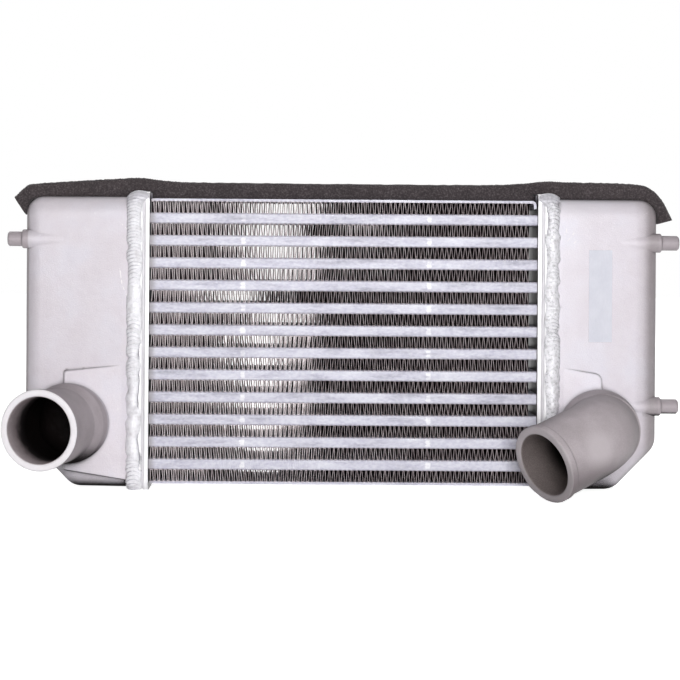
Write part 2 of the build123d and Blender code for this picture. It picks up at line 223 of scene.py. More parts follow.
def clean_and_lit_share(x, zones):
    """How clean and lit the foil is at each x, where 0 means soot and painted shade: 1 at the left
    end, at least its level in each zone of (start, end, level), and 0 elsewhere, with soft ends."""
    clean = np.clip((left_clean_and_lit_end - x) / left_clean_and_lit_fade, 0, 1)
    for start, end, level in zones:
        inside = np.clip(np.minimum(x - start, end - x) / zone_fade + 0.5, 0, 1)
        clean = np.maximum(clean, level * inside)
    return clean


def fin_faces(lines, ring):
    """The foil's sides are a grid closed round the ring; each end is closed by faces that join
    the two sides of the foil, from its first point to its last."""
    sides = grid_faces(lines, ring, columns_close=True)
    up = np.arange(ring // 2 - 1)
    cap = np.stack([up, up + 1, ring - 2 - up, ring - 1 - up], axis=1)
    last = cap[:, ::-1] + (lines - 1) * ring
    return np.concatenate([sides, cap, last]).tolist()


def new_material(name, colour, metallic, roughness):
    """A material with its shader, the object's own coordinates and the two ways to add nodes."""
    material = bpy.data.materials.new(name)
    material.use_nodes = True
    tree = material.node_tree
    shader = tree.nodes["Principled BSDF"]
    shader.inputs["Base Color"].default_value = (*colour, 1)
    shader.inputs["Metallic"].default_value = metallic
    shader.inputs["Roughness"].default_value = roughness
    coordinates = tree.nodes.new("ShaderNodeTexCoord").outputs["Object"]
    return material, tree, shader, coordinates


def noise(tree, coordinates, size, detail=3.0, stretch=(1, 1, 1), rough=0.5):
    """Grey noise whose lumps are about size across, in metres, drawn out along stretch."""
    mapping = tree.nodes.new("ShaderNodeMapping")
    mapping.inputs["Scale"].default_value = [1 / (size * part) for part in stretch]
    texture = tree.nodes.new("ShaderNodeTexNoise")
    texture.inputs["Scale"].default_value = 1.0
    texture.inputs["Detail"].default_value = detail
    texture.inputs["Roughness"].default_value = rough
    tree.links.new(coordinates, mapping.inputs["Vector"])
    tree.links.new(mapping.outputs["Vector"], texture.inputs["Vector"])
    return texture.outputs["Fac"]


def ramp(tree, value, stops):
    """A value turned into a colour or a grey between the given stops."""
    node = tree.nodes.new("ShaderNodeValToRGB")
    elements = node.color_ramp.elements
    while len(elements) < len(stops):
        elements.new(0.5)
    for element, (place, colour) in zip(elements, stops):
        element.position = place
        element.color = (*colour, 1) if hasattr(colour, "__len__") else (colour, colour, colour, 1)
    tree.links.new(value, node.inputs["Fac"])
    return node.outputs["Color"]


def mix(tree, factor, first, second, kind="MIX"):
    """Two colours mixed; each of the three values is a constant or a node's output."""
    node = tree.nodes.new("ShaderNodeMix")
    node.data_type = "RGBA"
    node.blend_type = kind
    for place, value in ((0, factor), (6, first), (7, second)):
        if hasattr(value, "is_output"):
            tree.links.new(value, node.inputs[place])
        elif hasattr(value, "__len__"):
            node.inputs[place].default_value = (*value, 1)
        else:
            node.inputs[place].default_value = value
    return node.outputs[2]


def bump(tree, height, depth, strength=1.0, under=None):
    """A bump of that depth in metres; under is a normal that it is laid over."""
    node = tree.nodes.new("ShaderNodeBump")
    node.inputs["Strength"].default_value = strength
    node.inputs["Distance"].default_value = depth
    tree.links.new(height, node.inputs["Height"])
    if under is not None:
        tree.links.new(under, node.inputs["Normal"])
    return node.outputs["Normal"]


def split_axes(tree, coordinates):
    """The three coordinates one by one."""
    node = tree.nodes.new("ShaderNodeSeparateXYZ")
    tree.links.new(coordinates, node.inputs[0])
    return node.outputs


def between(tree, value, start, end, level=1.0):
    """0 at start and level at end, smoothly."""
    node = tree.nodes.new("ShaderNodeMapRange")
    node.interpolation_type = "SMOOTHSTEP"
    node.inputs["From Min"].default_value = start
    node.inputs["From Max"].default_value = end
    node.inputs["To Max"].default_value = level
    tree.links.new(value, node.inputs["Value"])
    return node.outputs["Result"]


def combine(tree, operation, first, second=0.0):
    """One or two values put through a Math node."""
    node = tree.nodes.new("ShaderNodeMath")
    node.operation = operation
    for place, value in enumerate((first, second)):
        if hasattr(value, "is_output"):
            tree.links.new(value, node.inputs[place])
        else:
            node.inputs[place].default_value = value
    return node.outputs[0]


def times(tree, product, *factors):
    """Two or more values multiplied together."""
    for factor in factors:
        product = combine(tree, "MULTIPLY", product, factor)
    return product


def apart(tree, value, place):
    """How far a value is from place, on either side."""
    return combine(tree, "ABSOLUTE", combine(tree, "SUBTRACT", value, place))


def point_value(tree, name):
    """A value that the mesh carries at its points."""
    node = tree.nodes.new("ShaderNodeAttribute")
    node.attribute_name = name
    return node.outputs["Fac"]


def carry_value(piece, name, values):
    """Gives each point of a mesh a value that its material reads."""
    attribute = piece.data.attributes.new(name, "FLOAT", "POINT")
    attribute.data.foreach_set("value", values.ravel().astype(np.float32))


def fin_material():
    """Bright cut edges in front and behind. Inside the folds, outside the clean and lit zones, the
    foil's upper side is nearly black, which is soot with painted shade, and its underside is
    brown-grey soot. Where the foil is clean, its upper side is polished metal, and its underside is
    painted dark as shade, because it only sees the fold below."""
    material, tree, shader, here = new_material("fin foil", (0.62, 0.60, 0.57),
                                                metallic=0.1, roughness=0.45)
    clean_and_lit = point_value(tree, "clean")
    below = point_value(tree, "underside")
    patches = noise(tree, here, 0.006, detail=4)
    clean = ramp(tree, patches, [(0.3, (0.74, 0.655, 0.67)), (0.62, (0.98, 0.895, 0.91))])
    sooty = ramp(tree, patches, [(0.3, (0.085, 0.056, 0.062)), (0.62, (0.21, 0.155, 0.163))])
    # Painted shade: outside the clean and lit zones the upper side is near black, soot with the shade
    # deep in the folds; inside them the underside is painted dark as shade.
    upper = mix(tree, clean_and_lit, (0.015, 0.005, 0.007), clean)
    under = mix(tree, clean_and_lit, sooty, (0.055, 0.030, 0.035))
    colour = mix(tree, below, upper, under)
    from_middle = apart(tree, split_axes(tree, here)[1], fin_middle)
    edge_starts = fin_reach - cut_edge_depth
    edge_full = fin_reach - cut_edge_full
    cut_edge = between(tree, from_middle, edge_starts, edge_full)
    dull_edge = ramp(tree, patches, [(0.3, (0.18, 0.14, 0.148)), (0.62, (0.48, 0.415, 0.425))])
    bright_edge = ramp(tree, patches, [(0.3, (0.56, 0.48, 0.495)), (0.62, (0.93, 0.835, 0.855))])
    colour = mix(tree, cut_edge, colour, mix(tree, clean_and_lit, dull_edge, bright_edge))
    tree.links.new(colour, shader.inputs["Base Color"])
    shine = ramp(tree, cut_edge, [(0.0, 0.10), (1.0, 0.5)])
    tree.links.new(shine, shader.inputs["Specular IOR Level"])
    inside = between(tree, from_middle, edge_full, edge_starts)
    polished = times(tree, clean_and_lit, inside, combine(tree, "SUBTRACT", 1.0, below))
    tree.links.new(ramp(tree, polished, [(0.0, 0.0), (1.0, 0.9)]), shader.inputs["Metallic"])
    tree.links.new(ramp(tree, polished, [(0.0, 0.85), (1.0, 0.24)]), shader.inputs["Roughness"])
    grain = noise(tree, here, 0.0007, detail=2, stretch=(1, 1, 4))
    tree.links.new(bump(tree, grain, 0.00004), shader.inputs["Normal"])
    return material


fins = [name for name in sorted(nodes) if name.startswith("air_fin")]
first_fin = np.array(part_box(fins[0]))
fin_middle = float(first_fin[:, 1].mean())
fin_reach = float(first_fin[1, 1] - first_fin[0, 1]) / 2
fin_finish = fin_material()
for number, (name, slant, bow, zones) in enumerate(zip(fins, row_slants, row_bows, clean_and_lit_zones)):
    surface, underside = fin_surface(np.random.default_rng(100 + number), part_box(name), slant, bow)
    faces = fin_faces(*surface.shape[:2])
    row = new_piece(f"folded_foil_{number + 1:02d}", surface.reshape(-1, 3), faces,
                    fin_finish, name, smooth=False)
    carry_value(row, "underside", underside)
    carry_value(row, "clean", clean_and_lit_share(surface[:, :, 0], zones))

# ---- charge tubes, side plates and turbulators ----
# The tubes are flat, brazed aluminium, with a thin line of braze beads where the folds meet them.
# The furnace leaves pale smudges along them, and two bright marks where straps held the core.

strap_places = (-0.0802, 0.0685)
strap_width = 0.0036
strap_heights = (0.0036, 0.0014)
header_shadow_end = (-0.1485, -0.1545)
braze_line = 0.0039
braze_reach = (0.0006, 0.0001)
tubes = sorted(name for name in nodes if name.startswith("charge_tube"))
tube_heights = sorted(float(np.mean(np.array(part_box(name))[:, 2])) for name in tubes)
lowest_tube = tube_heights[0]
tube_pitch = tube_heights[1] - tube_heights[0]
crest_pitch = float(first_fin[1, 0] - first_fin[0, 0]) / fold_count


def overlay(tree, amount, colour, grey, low, high, start=0.3):
    """Grey noise laid over a colour by amount: the tone is low at start and high at 1 - start."""
    tones = ramp(tree, grey, [(start, low), (1 - start, high)])
    return mix(tree, amount, colour, tones, "OVERLAY")


def tube_material():
    """Dull pale aluminium: long faint smudges and fine grain, two strap marks on every tube, a
    painted shadow of the header on the left end, and darker braze beads along both edges, one at each
    crest of the fins."""
    material, tree, shader, here = new_material("brazed tube", (0.6, 0.6, 0.66),
                                                metallic=0.12, roughness=0.45)
    long_smudge = noise(tree, here, 0.011, detail=5, stretch=(3.2, 1, 0.55), rough=0.62)
    colour = ramp(tree, long_smudge, [(0.28, (0.41, 0.405, 0.48)), (0.48, (0.58, 0.57, 0.66)),
                                      (0.72, (0.64, 0.64, 0.71))])
    fine = noise(tree, here, 0.0016, detail=4, stretch=(2.0, 1, 1))
    colour = overlay(tree, 0.35, colour, fine, 0.25, 0.75)
    x, _, z = split_axes(tree, here)
    from_tube = combine(tree, "PINGPONG", combine(tree, "SUBTRACT", z, lowest_tube), tube_pitch / 2)
    spot = times(tree, between(tree, from_tube, *strap_heights),
                 between(tree, long_smudge, 0.30, 0.56))
    for place in strap_places:
        mark = times(tree, strap_mask(tree, x, fine, place), spot)
        colour = mix(tree, mark, colour, (0.92, 0.91, 0.93))
    # Painted shadow: the header, which stands in front of the tubes, shades their left ends.
    colour = mix(tree, between(tree, x, *header_shadow_end, 0.8), colour, (0.34, 0.315, 0.34))
    along_edge = between(tree, apart(tree, from_tube, braze_line), *braze_reach)
    crest = combine(tree, "PINGPONG", x, crest_pitch / 2)
    bead = times(tree, along_edge, between(tree, crest, 0.0, crest_pitch / 2), 0.55)
    colour = mix(tree, bead, colour, (0.36, 0.31, 0.35))
    tree.links.new(colour, shader.inputs["Base Color"])
    tree.links.new(ramp(tree, long_smudge, [(0.3, 0.55), (0.7, 0.42)]), shader.inputs["Roughness"])
    wavy = noise(tree, here, 0.009, detail=3, stretch=(1.6, 1, 1))
    skin = bump(tree, fine, 0.00008)
    tree.links.new(bump(tree, wavy, 0.0006, strength=0.35, under=skin), shader.inputs["Normal"])
    return material


def strap_mask(tree, x, ragged, place):
    """How near x is to a strap mark: most at its middle, falling to 0 at its ragged edge."""
    shifted = combine(tree, "ADD", x, times(tree, ragged, strap_width))
    away = apart(tree, shifted, place + strap_width / 2)
    return between(tree, away, strap_width * 0.62, strap_width * 0.35, 0.75)


def refinish(names, material):
    """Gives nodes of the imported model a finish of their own."""
    for name in names:
        nodes[name].data.materials.clear()
        nodes[name].data.materials.append(material)


refinish([*tubes, "top_side_plate", "bottom_side_plate"], tube_material())
refinish([name for name in nodes if name.startswith("turbulator")], fin_finish)

# ---- headers ----
# Pressed aluminium plates with a rim. They are smooth and bright, with faint rolling marks
# along their height, and painted shade in the groove.

header_ridges = (0.1573, 0.1616)
ridge_highlight_reach = (0.0009, 0.0003)
header_valley = 0.1595
valley_shade = (0.0013, 0.0002)
valley_slope = (0.0002, 0.0016)
header_inside_shade = (0.1553, 0.1551)


def header_material():
    """Bright plate: fine upright rolling marks, and a slow change of tone. The two ridges carry a
    painted highlight, the valley between them is sunk and darkened with painted shade, and the side
    to the core is painted dark as shade."""
    material, tree, shader, here = new_material("header plate", (0.84, 0.83, 0.85),
                                                metallic=0.15, roughness=0.36)
    rolled = noise(tree, here, 0.0009, detail=3, stretch=(1, 1, 14))
    slow = noise(tree, here, 0.02, detail=3)
    colour = mix(tree, 0.5, ramp(tree, rolled, [(0.3, 0.72), (0.7, 0.90)]),
                 ramp(tree, slow, [(0.35, (0.76, 0.74, 0.79)), (0.65, (0.92, 0.90, 0.94))]))
    from_middle = apart(tree, split_axes(tree, here)[0], 0.0)
    # Painted highlight along both ridges.
    for ridge in header_ridges:
        ridge_highlight = between(tree, apart(tree, from_middle, ridge), *ridge_highlight_reach)
        colour = mix(tree, ridge_highlight, colour, (0.92, 0.91, 0.93))
    # Painted shade in the valley between the ridges, and on the side that faces the core.
    valley = apart(tree, from_middle, header_valley)
    colour = mix(tree, between(tree, valley, *valley_shade, 0.5), colour, (0.50, 0.47, 0.52))
    colour = mix(tree, between(tree, from_middle, *header_inside_shade), colour, (0.03, 0.025, 0.025))
    tree.links.new(colour, shader.inputs["Base Color"])
    relief = bump(tree, between(tree, valley, *valley_slope), 0.0005)
    skin = bump(tree, rolled, 0.00004, under=relief)
    tree.links.new(bump(tree, slow, 0.0008, strength=0.5, under=skin), shader.inputs["Normal"])
    return material


refinish(["left_header", "right_header"], header_material())

# ---- weld beads ----
# Each tank is welded to its header by hand, all the way round. The bead is a row of small
# overlapping ripples, with lumps and craters where the welder stopped and started again.

ripple_pitch = 0.0029
ripple_height = 0.00055
ripple_drift = 0.45
ripple_skew = 0.22
ripple_lag = 0.9
ripple_rise = 1.4
ripple_strengths = (0.15, 1.6)
line_width = 0.22
lump_height = 0.00026
header_wander = 0.00056
tank_wander = 0.0007
bead_width = 0.0118
cap_width = 0.0064
cap_start = 0.2285
cap_rise = 0.006
bead_crown = 0.0007
dome_fullness = 0.55
header_edge_drop = 0.0012
tank_edge_drop = 0.0036
bead_root = 0.0062
root_inset = 0.001
bead_steps = 2200
bead_points = 15
bead_corner = 0.007
marks = {"left_weld_bead": ((0.0640, 0.0022, -0.0020), (0.2300, 0.0055, 0.0012),
                            (0.0035, 0.0035, 0.0006)),
         "right_weld_bead": ((0.0700, 0.0042, 0.0010), (0.2290, 0.0060, 0.0012),
                             (0.1480, 0.0018, -0.0010))}
undercuts = {"left_weld_bead": ((0.0652, 0.1187), (0.0149, 0.0492)),
             "right_weld_bead": ((0.2060, 0.2250),)}
undercut_depth = 0.0016
undercut_fade = 0.002
undercut_share = 2 / 9
foam_shaded_top = (0.226, 0.236)


def round_path(half_depth, half_height, corner, count):
    """Points and outward directions round a rectangle with round corners, at equal steps. The
    distance travelled is turned into a straight part or an angle on one of the four corners."""
    flat_y = half_depth - corner
    flat_z = half_height - corner
    arc = corner * math.pi / 2
    lengths = np.array([2 * flat_z, arc, 2 * flat_y, arc] * 2)
    starts = np.concatenate([[0], np.cumsum(lengths)])
    travel = np.linspace(0, starts[-1], count, endpoint=False)
    part = np.searchsorted(starts, travel, side="right") - 1
    share = (travel - starts[part]) / lengths[part]
    quarter = part // 2
    turn = (quarter + np.where(part % 2 == 1, share, 0.0)) * math.pi / 2
    normal = np.stack([-np.cos(turn), np.sin(turn)], axis=1)
    corner_y = np.array([-1, 1, 1, -1])[quarter] * flat_y
    corner_z = np.array([1, 1, -1, -1])[quarter] * flat_z
    back = np.where(part % 2 == 0, (1 - share) * lengths[part], 0.0)
    heading = np.stack([np.sin(turn), np.cos(turn)], axis=1)
    place = np.stack([corner_y, corner_z], axis=1) + normal * corner - heading * back[:, None]
    return place, normal, travel, starts[-1]


def lumpy(draw, blur):
    """A closed random line round the bead, with a spread of 1: noise at each step, blurred by a
    bell curve of blur steps. The blur is a product in the noise's spectrum."""
    waves = np.fft.rfftfreq(bead_steps)
    spectrum = np.fft.rfft(draw.normal(size=bead_steps))
    line = np.fft.irfft(spectrum * np.exp(-2 * (math.pi * waves * blur) ** 2), bead_steps)
    return (line - line.mean()) / line.std()


def bead_surface(draw, box, outwards, spots, gaps):
    """A closed ring. Across the joint runs a dome, low on the tank's side. Round the joint it
    follows the ripples: each rises slowly and drops off at its end, and is bent back at its edges.
    Slow noise adds lumps and moves both edges, each spot raises or sinks the bead's front by a
    bell curve in Z, each gap undercuts its edge along the header, and a cap covers the header's
    top. The second result is painted shade: 0 in the crease between two ripples, and low where an
    undercut opens at the header."""
    low, high = (np.array(corner) for corner in box)
    middle = (low + high) / 2
    half = (high - low) / 2
    place, normal, travel, length = round_path(half[1], half[2], bead_corner, bead_steps)
    across = np.linspace(0, 1, bead_points)
    ripples = round(length / ripple_pitch)
    phase = travel[:, None] / length * ripples + ripple_drift * lumpy(draw, blur=26)[:, None]
    phase = phase + ripple_lag * (2 * across - 1) ** 2
    phase = phase + ripple_skew * lumpy(draw, blur=5)[:, None] * (across - 0.5)
    scale = (phase % 1.0) ** ripple_rise
    strength = np.clip(0.75 + 0.5 * lumpy(draw, blur=30), *ripple_strengths)[:, None]
    dome = np.sin(math.pi * np.clip(across, 0.01, 0.99)) ** dome_fullness
    feet = -header_edge_drop * (1 - across) - tank_edge_drop * across
    top = feet * (1 - dome) + bead_crown * dome
    lumps = lump_height * lumpy(draw, blur=9)
    top = top + (lumps[:, None] - ripple_height * strength * (1 - scale)) * dome
    height = middle[2] + place[:, 1]
    front = np.where(place[:, 0] < 0, 1.0, 0.0)
    for mark, reach, rise in spots:
        bell = front * np.exp(-((height - mark) / reach) ** 2)
        top += rise * bell[:, None] * np.sin(math.pi * across)
    open_edge = sum(np.clip(np.minimum(height - start, end - height) / undercut_fade, 0, 1)
                    for start, end in gaps)
    open_edge = (front * open_edge * np.clip(0.8 + 0.4 * lumpy(draw, blur=12), 0, 1))[:, None]
    at_header = np.clip(1 - across / undercut_share, 0, 1)
    top -= undercut_depth * open_edge * at_header
    tank_edge = low[0] if outwards < 0 else high[0]
    cap = cap_width * np.clip((height - cap_start) / cap_rise, 0, 1) ** 1.5
    first = tank_edge - outwards * (bead_width + cap + header_wander * lumpy(draw, blur=12))
    last = tank_edge + outwards * tank_wander * np.clip(lumpy(draw, blur=6), -2.0, 0.7)
    x = first[:, None] + (last - first)[:, None] * across
    x = np.concatenate([x, x[:, -1:] - outwards * root_inset, x[:, :1]], axis=1)
    offset = np.concatenate([top, np.full((bead_steps, 2), -bead_root)], axis=1)
    points = np.empty((bead_steps, bead_points + 2, 3))
    points[:, :, 0] = x
    points[:, :, 1] = middle[1] + place[:, :1] + normal[:, :1] * offset
    points[:, :, 2] = middle[2] + place[:, 1:] + normal[:, 1:] * offset
    # Painted shade: dark in the crease between two ripples, and along each undercut at the header.
    shade = np.zeros((bead_steps, bead_points + 2))
    line = np.exp(-((phase % 1.0) / line_width) ** 2) * np.clip(strength, 0, 1)
    line = line * (0.25 + 0.75 * across)
    shade[:, :bead_points] = (1 - line) * (1 - open_edge * np.clip(at_header * 2.5, 0, 1))
    return np.clip(points, *cad_bounds), np.clip(shade, 0, 1)


def weld_material():
    """Freshly melted aluminium: bright on the ripples, with painted shade in the creases between them
    and in the undercuts, small flakes and pits all over, more of them on the right, and painted shade
    at the top, under the foam."""
    material, tree, shader, here = new_material("weld metal", (0.86, 0.86, 0.88),
                                                metallic=0.1, roughness=0.34)
    soot = noise(tree, here, 0.006, detail=4)
    ripple_shade = point_value(tree, "ripple_shade")
    # The ripple shade is painted: grey to dark in the creases and undercuts.
    bright = ramp(tree, ripple_shade, [(0.05, (0.16, 0.15, 0.18)), (0.45, (0.58, 0.56, 0.62)),
                                 (0.85, (0.92, 0.91, 0.95))])
    flakes = noise(tree, here, 0.0022, detail=4, rough=0.65)
    x, _, z = split_axes(tree, here)
    flaky = combine(tree, "ADD", between(tree, x, 0.0, 0.1, 0.4), 0.2)
    flake_tones = ramp(tree, flakes, [(0.38, 0.42), (0.50, 0.90), (0.60, 1.0)])
    bright = mix(tree, flaky, bright, flake_tones, "MULTIPLY")
    # Painted shade at the top of the bead, under the foam.
    bright = mix(tree, between(tree, z, *foam_shaded_top, 0.5), bright, (0.42, 0.40, 0.46))
    colour = mix(tree, ramp(tree, soot, [(0.56, 0.0), (0.80, 0.5)]), bright, (0.46, 0.43, 0.44))
    tree.links.new(colour, shader.inputs["Base Color"])
    grain = noise(tree, here, 0.0008, detail=3)
    skin = bump(tree, flakes, 0.0006, strength=0.8)
    tree.links.new(bump(tree, grain, 0.0002, strength=0.8, under=skin), shader.inputs["Normal"])
    return material


weld_finish = weld_material()
for name, outwards in (("left_weld_bead", -1), ("right_weld_bead", 1)):
    surface, metal = bead_surface(np.random.default_rng(40 + outwards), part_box(name), outwards,
                                  marks[name], undercuts[name])
    faces = grid_faces(bead_steps, bead_points + 2, rows_close=True, columns_close=True)
    if outwards > 0:
        faces = faces[:, ::-1]
    bead = new_piece(name.replace("bead", "ripples"), surface.reshape(-1, 3), faces.tolist(),
                     weld_finish, name)
    carry_value(bead, "ripple_shade", metal)

# ---- end tanks ----
# Sand-cast aluminium, blasted to a pale, finely grained skin. The hose pipes, cast in one with
# the tanks, stay darker and rougher, and only the mouth of the left one is machined bright.

pipe_front = 0.0098
pipe_blend = 0.0026
pipe_underside_shade = (0.040, 0.016)
peg_start = 0.2526
peg_blend = 0.0012
facet_highlight_place = (0.1930, -0.0600, 0.0440)
facet_highlight_reach = (0.024, 0.010)
shading_scale = 1.9
machined_depth = 0.0007
face_blend = 0.0002
half_bead = 0.00325
scratch_fade = 0.002
tone_depth = 0.05
deep_shade_depths = (0.45, 0.75)
edge_softness = 0.0022
mounts = {mount["name"]: mount for mount in frame["record"]["mounts"]}


def vector_step(tree, operation, vector, constant=(0, 0, 0)):
    """A Vector Math node on a vector and a constant; its outputs are Vector and Value."""
    node = tree.nodes.new("ShaderNodeVectorMath")
    node.operation = operation
    tree.links.new(vector, node.inputs[0])
    node.inputs[1].default_value = constant
    return node.outputs


def dot_from(tree, here, place, axis):
    """How far a point lies in front of place, along axis."""
    away = vector_step(tree, "SUBTRACT", here, place)["Vector"]
    return vector_step(tree, "DOT_PRODUCT", away, axis)["Value"]


def scratch_mask(tree, here, start, end, ragged, half_width):
    """A thin bright line on the front of a tank, from start to end, both in X and Z. Along the
    line the mask is 1, and it is broken up by noise."""
    run = np.array(end) - np.array(start)
    length = float(np.hypot(*run))
    along = (float(run[0] / length), 0.0, float(run[1] / length))
    side = (along[2], 0.0, -along[0])
    place = (start[0], 0.0, start[1])
    distance = apart(tree, dot_from(tree, here, place, side), 0.0)
    near = between(tree, distance, half_width, half_width * 0.3)
    travelled = dot_from(tree, here, place, along)
    inside = times(tree, between(tree, travelled, 0, scratch_fade),
                   between(tree, travelled, length, length - scratch_fade))
    return times(tree, near, inside, between(tree, ragged, 0.42, 0.55))


def radius_from(tree, here, place, axis):
    """How far a point lies from the line through place along axis."""
    away = vector_step(tree, "SUBTRACT", here, place)["Vector"]
    across = vector_step(tree, "CROSS_PRODUCT", away, axis)["Vector"]
    return vector_step(tree, "LENGTH", across)["Value"]


def ragged_distance(tree, here, place, ragged, reach):
    """How far a point lies from place, made uneven by noise times reach."""
    away = vector_step(tree, "DISTANCE", here, place)["Value"]
    return combine(tree, "ADD", away, times(tree, ragged, reach))


def open_sky(tree, reach, samples=12):
    """How free a place is of metal within reach: 1 in the open, near 0 deep in a bore."""
    node = tree.nodes.new("ShaderNodeAmbientOcclusion")
    node.samples = samples
    node.inputs["Distance"].default_value = reach
    return node.outputs["AO"]


def cast_material(name, bead, machined, scratches, stains, shading, bore_edge, bore_end, bore_shade_tones):
    """Cast skin: slow pink and blue tints, fine blasted grain, flecks, scratches and dark stains.
    The shading is painted shade: a ramp across the cooler's whole width that darkens the outer sides.
    The pegs and the pipe are darker, with painted shade under the pipe and a painted highlight on one
    facet of the right elbow, and painted shade darkens every face that turns from the camera. The
    plane of the pipe's mouth is bright where machined. The bore's tones darken with depth as painted
    shade, with brown dirt in the right one, nearly black far inside, and painted shade darkens the
    corners."""
    material, tree, shader, here = new_material(name, (0.72, 0.69, 0.74), metallic=0.1, roughness=0.5)
    slow = noise(tree, here, 0.030, detail=3)
    x, y, z = split_axes(tree, here)
    tint = ramp(tree, slow, [(0.36, (0.79, 0.745, 0.80)), (0.5, (0.81, 0.77, 0.83)),
                             (0.66, (0.82, 0.795, 0.865))])
    # Painted shade: the ramp across the width darkens the outer sides of both tanks.
    across = combine(tree, "ADD", times(tree, x, shading_scale), 0.5)
    tint = mix(tree, 1.0, tint, ramp(tree, across, shading), "MULTIPLY")
    cloud = noise(tree, here, 0.008, detail=5)
    tint = overlay(tree, 0.25, tint, cloud, 0.42, 0.58)
    grain = noise(tree, here, 0.0009, detail=3)
    tint = overlay(tree, 0.30, tint, grain, 0.40, 0.60)
    flecks = ramp(tree, noise(tree, here, 0.0042, detail=2), [(0.72, 0.0), (0.80, 0.4)])
    tint = mix(tree, flecks, tint, (0.90, 0.88, 0.90))
    ragged = noise(tree, here, 0.003, detail=4)
    for start, end, half_width in scratches:
        scratch = scratch_mask(tree, here, start, end, ragged, half_width)
        tint = mix(tree, scratch, tint, (0.92, 0.88, 0.90))
    for place, radius in stains:
        away = ragged_distance(tree, here, place, ragged, radius)
        stain = between(tree, away, radius * 1.4, radius * 0.7, 0.6)
        tint = mix(tree, stain, tint, (0.27, 0.235, 0.245))
    pipe = between(tree, y, pipe_front, pipe_front - pipe_blend)
    patch = noise(tree, here, 0.016, detail=3)
    dull = ramp(tree, patch, [(0.30, (0.485, 0.43, 0.45)), (0.5, (0.53, 0.47, 0.495)),
                              (0.7, (0.58, 0.52, 0.545))])
    dull = overlay(tree, 0.30, dull, grain, 0.38, 0.62)
    # Painted highlight on a facet of the right elbow that faces the light.
    near_facet_highlight = ragged_distance(tree, here, facet_highlight_place, patch, 0.008)
    dull = mix(tree, between(tree, near_facet_highlight, *facet_highlight_reach, 0.8), dull, (0.66, 0.60, 0.625))
    pegs = between(tree, apart(tree, x, 0.0), peg_start, peg_start + peg_blend)
    colour = mix(tree, pegs, tint, (0.43, 0.38, 0.405))
    colour = mix(tree, pipe, colour, dull)
    # Painted shade on the underside of the pipe.
    underneath = times(tree, pipe, between(tree, z, *pipe_underside_shade, 0.9))
    colour = mix(tree, underneath, colour, (0.20, 0.165, 0.175))
    axis = mounts[bead]["axis"]
    mouth = [part + half_bead * turn for part, turn in zip(mounts[bead]["pos_m"], axis)]
    outwards = dot_from(tree, here, mouth, axis)
    face = between(tree, outwards, -machined_depth - face_blend, -machined_depth)
    if machined:
        colour = mix(tree, face, colour, (0.97, 0.935, 0.965))
    else:
        colour = mix(tree, times(tree, face, 0.5), colour, (0.42, 0.39, 0.40))
    # Painted shade: faces that turn away from the camera are darkened.
    facing = tree.nodes.new("ShaderNodeLayerWeight").outputs["Facing"]
    turned_from_view_shade = ramp(tree, facing, [(0.45, 1.0), (0.95, 0.55)])
    colour = mix(tree, 1.0, colour, turned_from_view_shade, "MULTIPLY")
    # Painted shade in the corners, where little light reaches.
    corner = ramp(tree, open_sky(tree, 0.006), [(0.35, 0.7), (0.80, 0.0)])
    colour = mix(tree, corner, colour, (0.10, 0.08, 0.085))
    # Painted shade: the bore darkens with depth from its mouth.
    depth = times(tree, outwards, -1 / tone_depth)
    tones = ramp(tree, combine(tree, "ADD", depth, times(tree, cloud, 0.25)), bore_shade_tones)
    tones = overlay(tree, 0.5, tones, grain, 0.30, 0.70)
    in_bore = times(tree, between(tree, radius_from(tree, here, mouth, axis), *bore_edge),
                    between(tree, depth, 0.0, 0.02),
                    between(tree, depth, bore_end / tone_depth + 0.02, bore_end / tone_depth))
    colour = mix(tree, in_bore, colour, tones)
    # Painted shade: deep in the bore the colour is nearly black, and its specular reflection is taken
    # away too.
    deep = ramp(tree, open_sky(tree, 0.4, samples=28), [(0.10, 1.0), (0.22, 0.0)])
    deep = times(tree, deep, between(tree, depth, *deep_shade_depths))
    colour = mix(tree, deep, colour, (0.008, 0.006, 0.006))
    tree.links.new(colour, shader.inputs["Base Color"])
    tree.links.new(ramp(tree, deep, [(0.0, 0.5), (1.0, 0.0)]), shader.inputs["Specular IOR Level"])
    tree.links.new(ramp(tree, pipe, [(0.0, 0.46), (1.0, 0.60)]), shader.inputs["Roughness"])
    soft = tree.nodes.new("ShaderNodeBevel")
    soft.samples = 4
    soft.inputs["Radius"].default_value = edge_softness
    skin = bump(tree, cloud, 0.0005, strength=0.5, under=soft.outputs["Normal"])
    tree.links.new(bump(tree, grain, 0.00022, strength=0.9, under=skin), shader.inputs["Normal"])
    return material


left_scratches = (((-0.1655, 0.1800), (-0.1640, 0.1730), 0.0006),
                  ((-0.1790, 0.1780), (-0.1770, 0.1640), 0.0007),
                  ((-0.1770, 0.1640), (-0.1700, 0.1490), 0.0006),
                  ((-0.1800, 0.2150), (-0.1620, 0.1990), 0.0005))
right_scratches = (((0.1785, 0.2010), (0.1850, 0.2090), 0.0006),
                   ((0.1835, 0.1990), (0.1870, 0.2030), 0.0005),
                   ((0.1745, 0.2105), (0.1805, 0.2078), 0.0006),
                   ((0.1765, 0.2055), (0.1786, 0.2122), 0.0006))
left_stains = (((-0.2215, 0.0146, 0.0950), 0.0032), ((-0.2080, 0.0125, 0.0975), 0.0022),
               ((-0.1650, 0.0087, 0.0655), 0.0035))
right_stains = (((0.2440, 0.0180, 0.0640), 0.0045), ((0.1745, 0.0095, 0.1490), 0.0022))
left_shading = ((0.015, (0.76, 0.745, 0.745)), (0.032, (0.87, 0.855, 0.855)),
                (0.06, (0.90, 0.885, 0.885)))
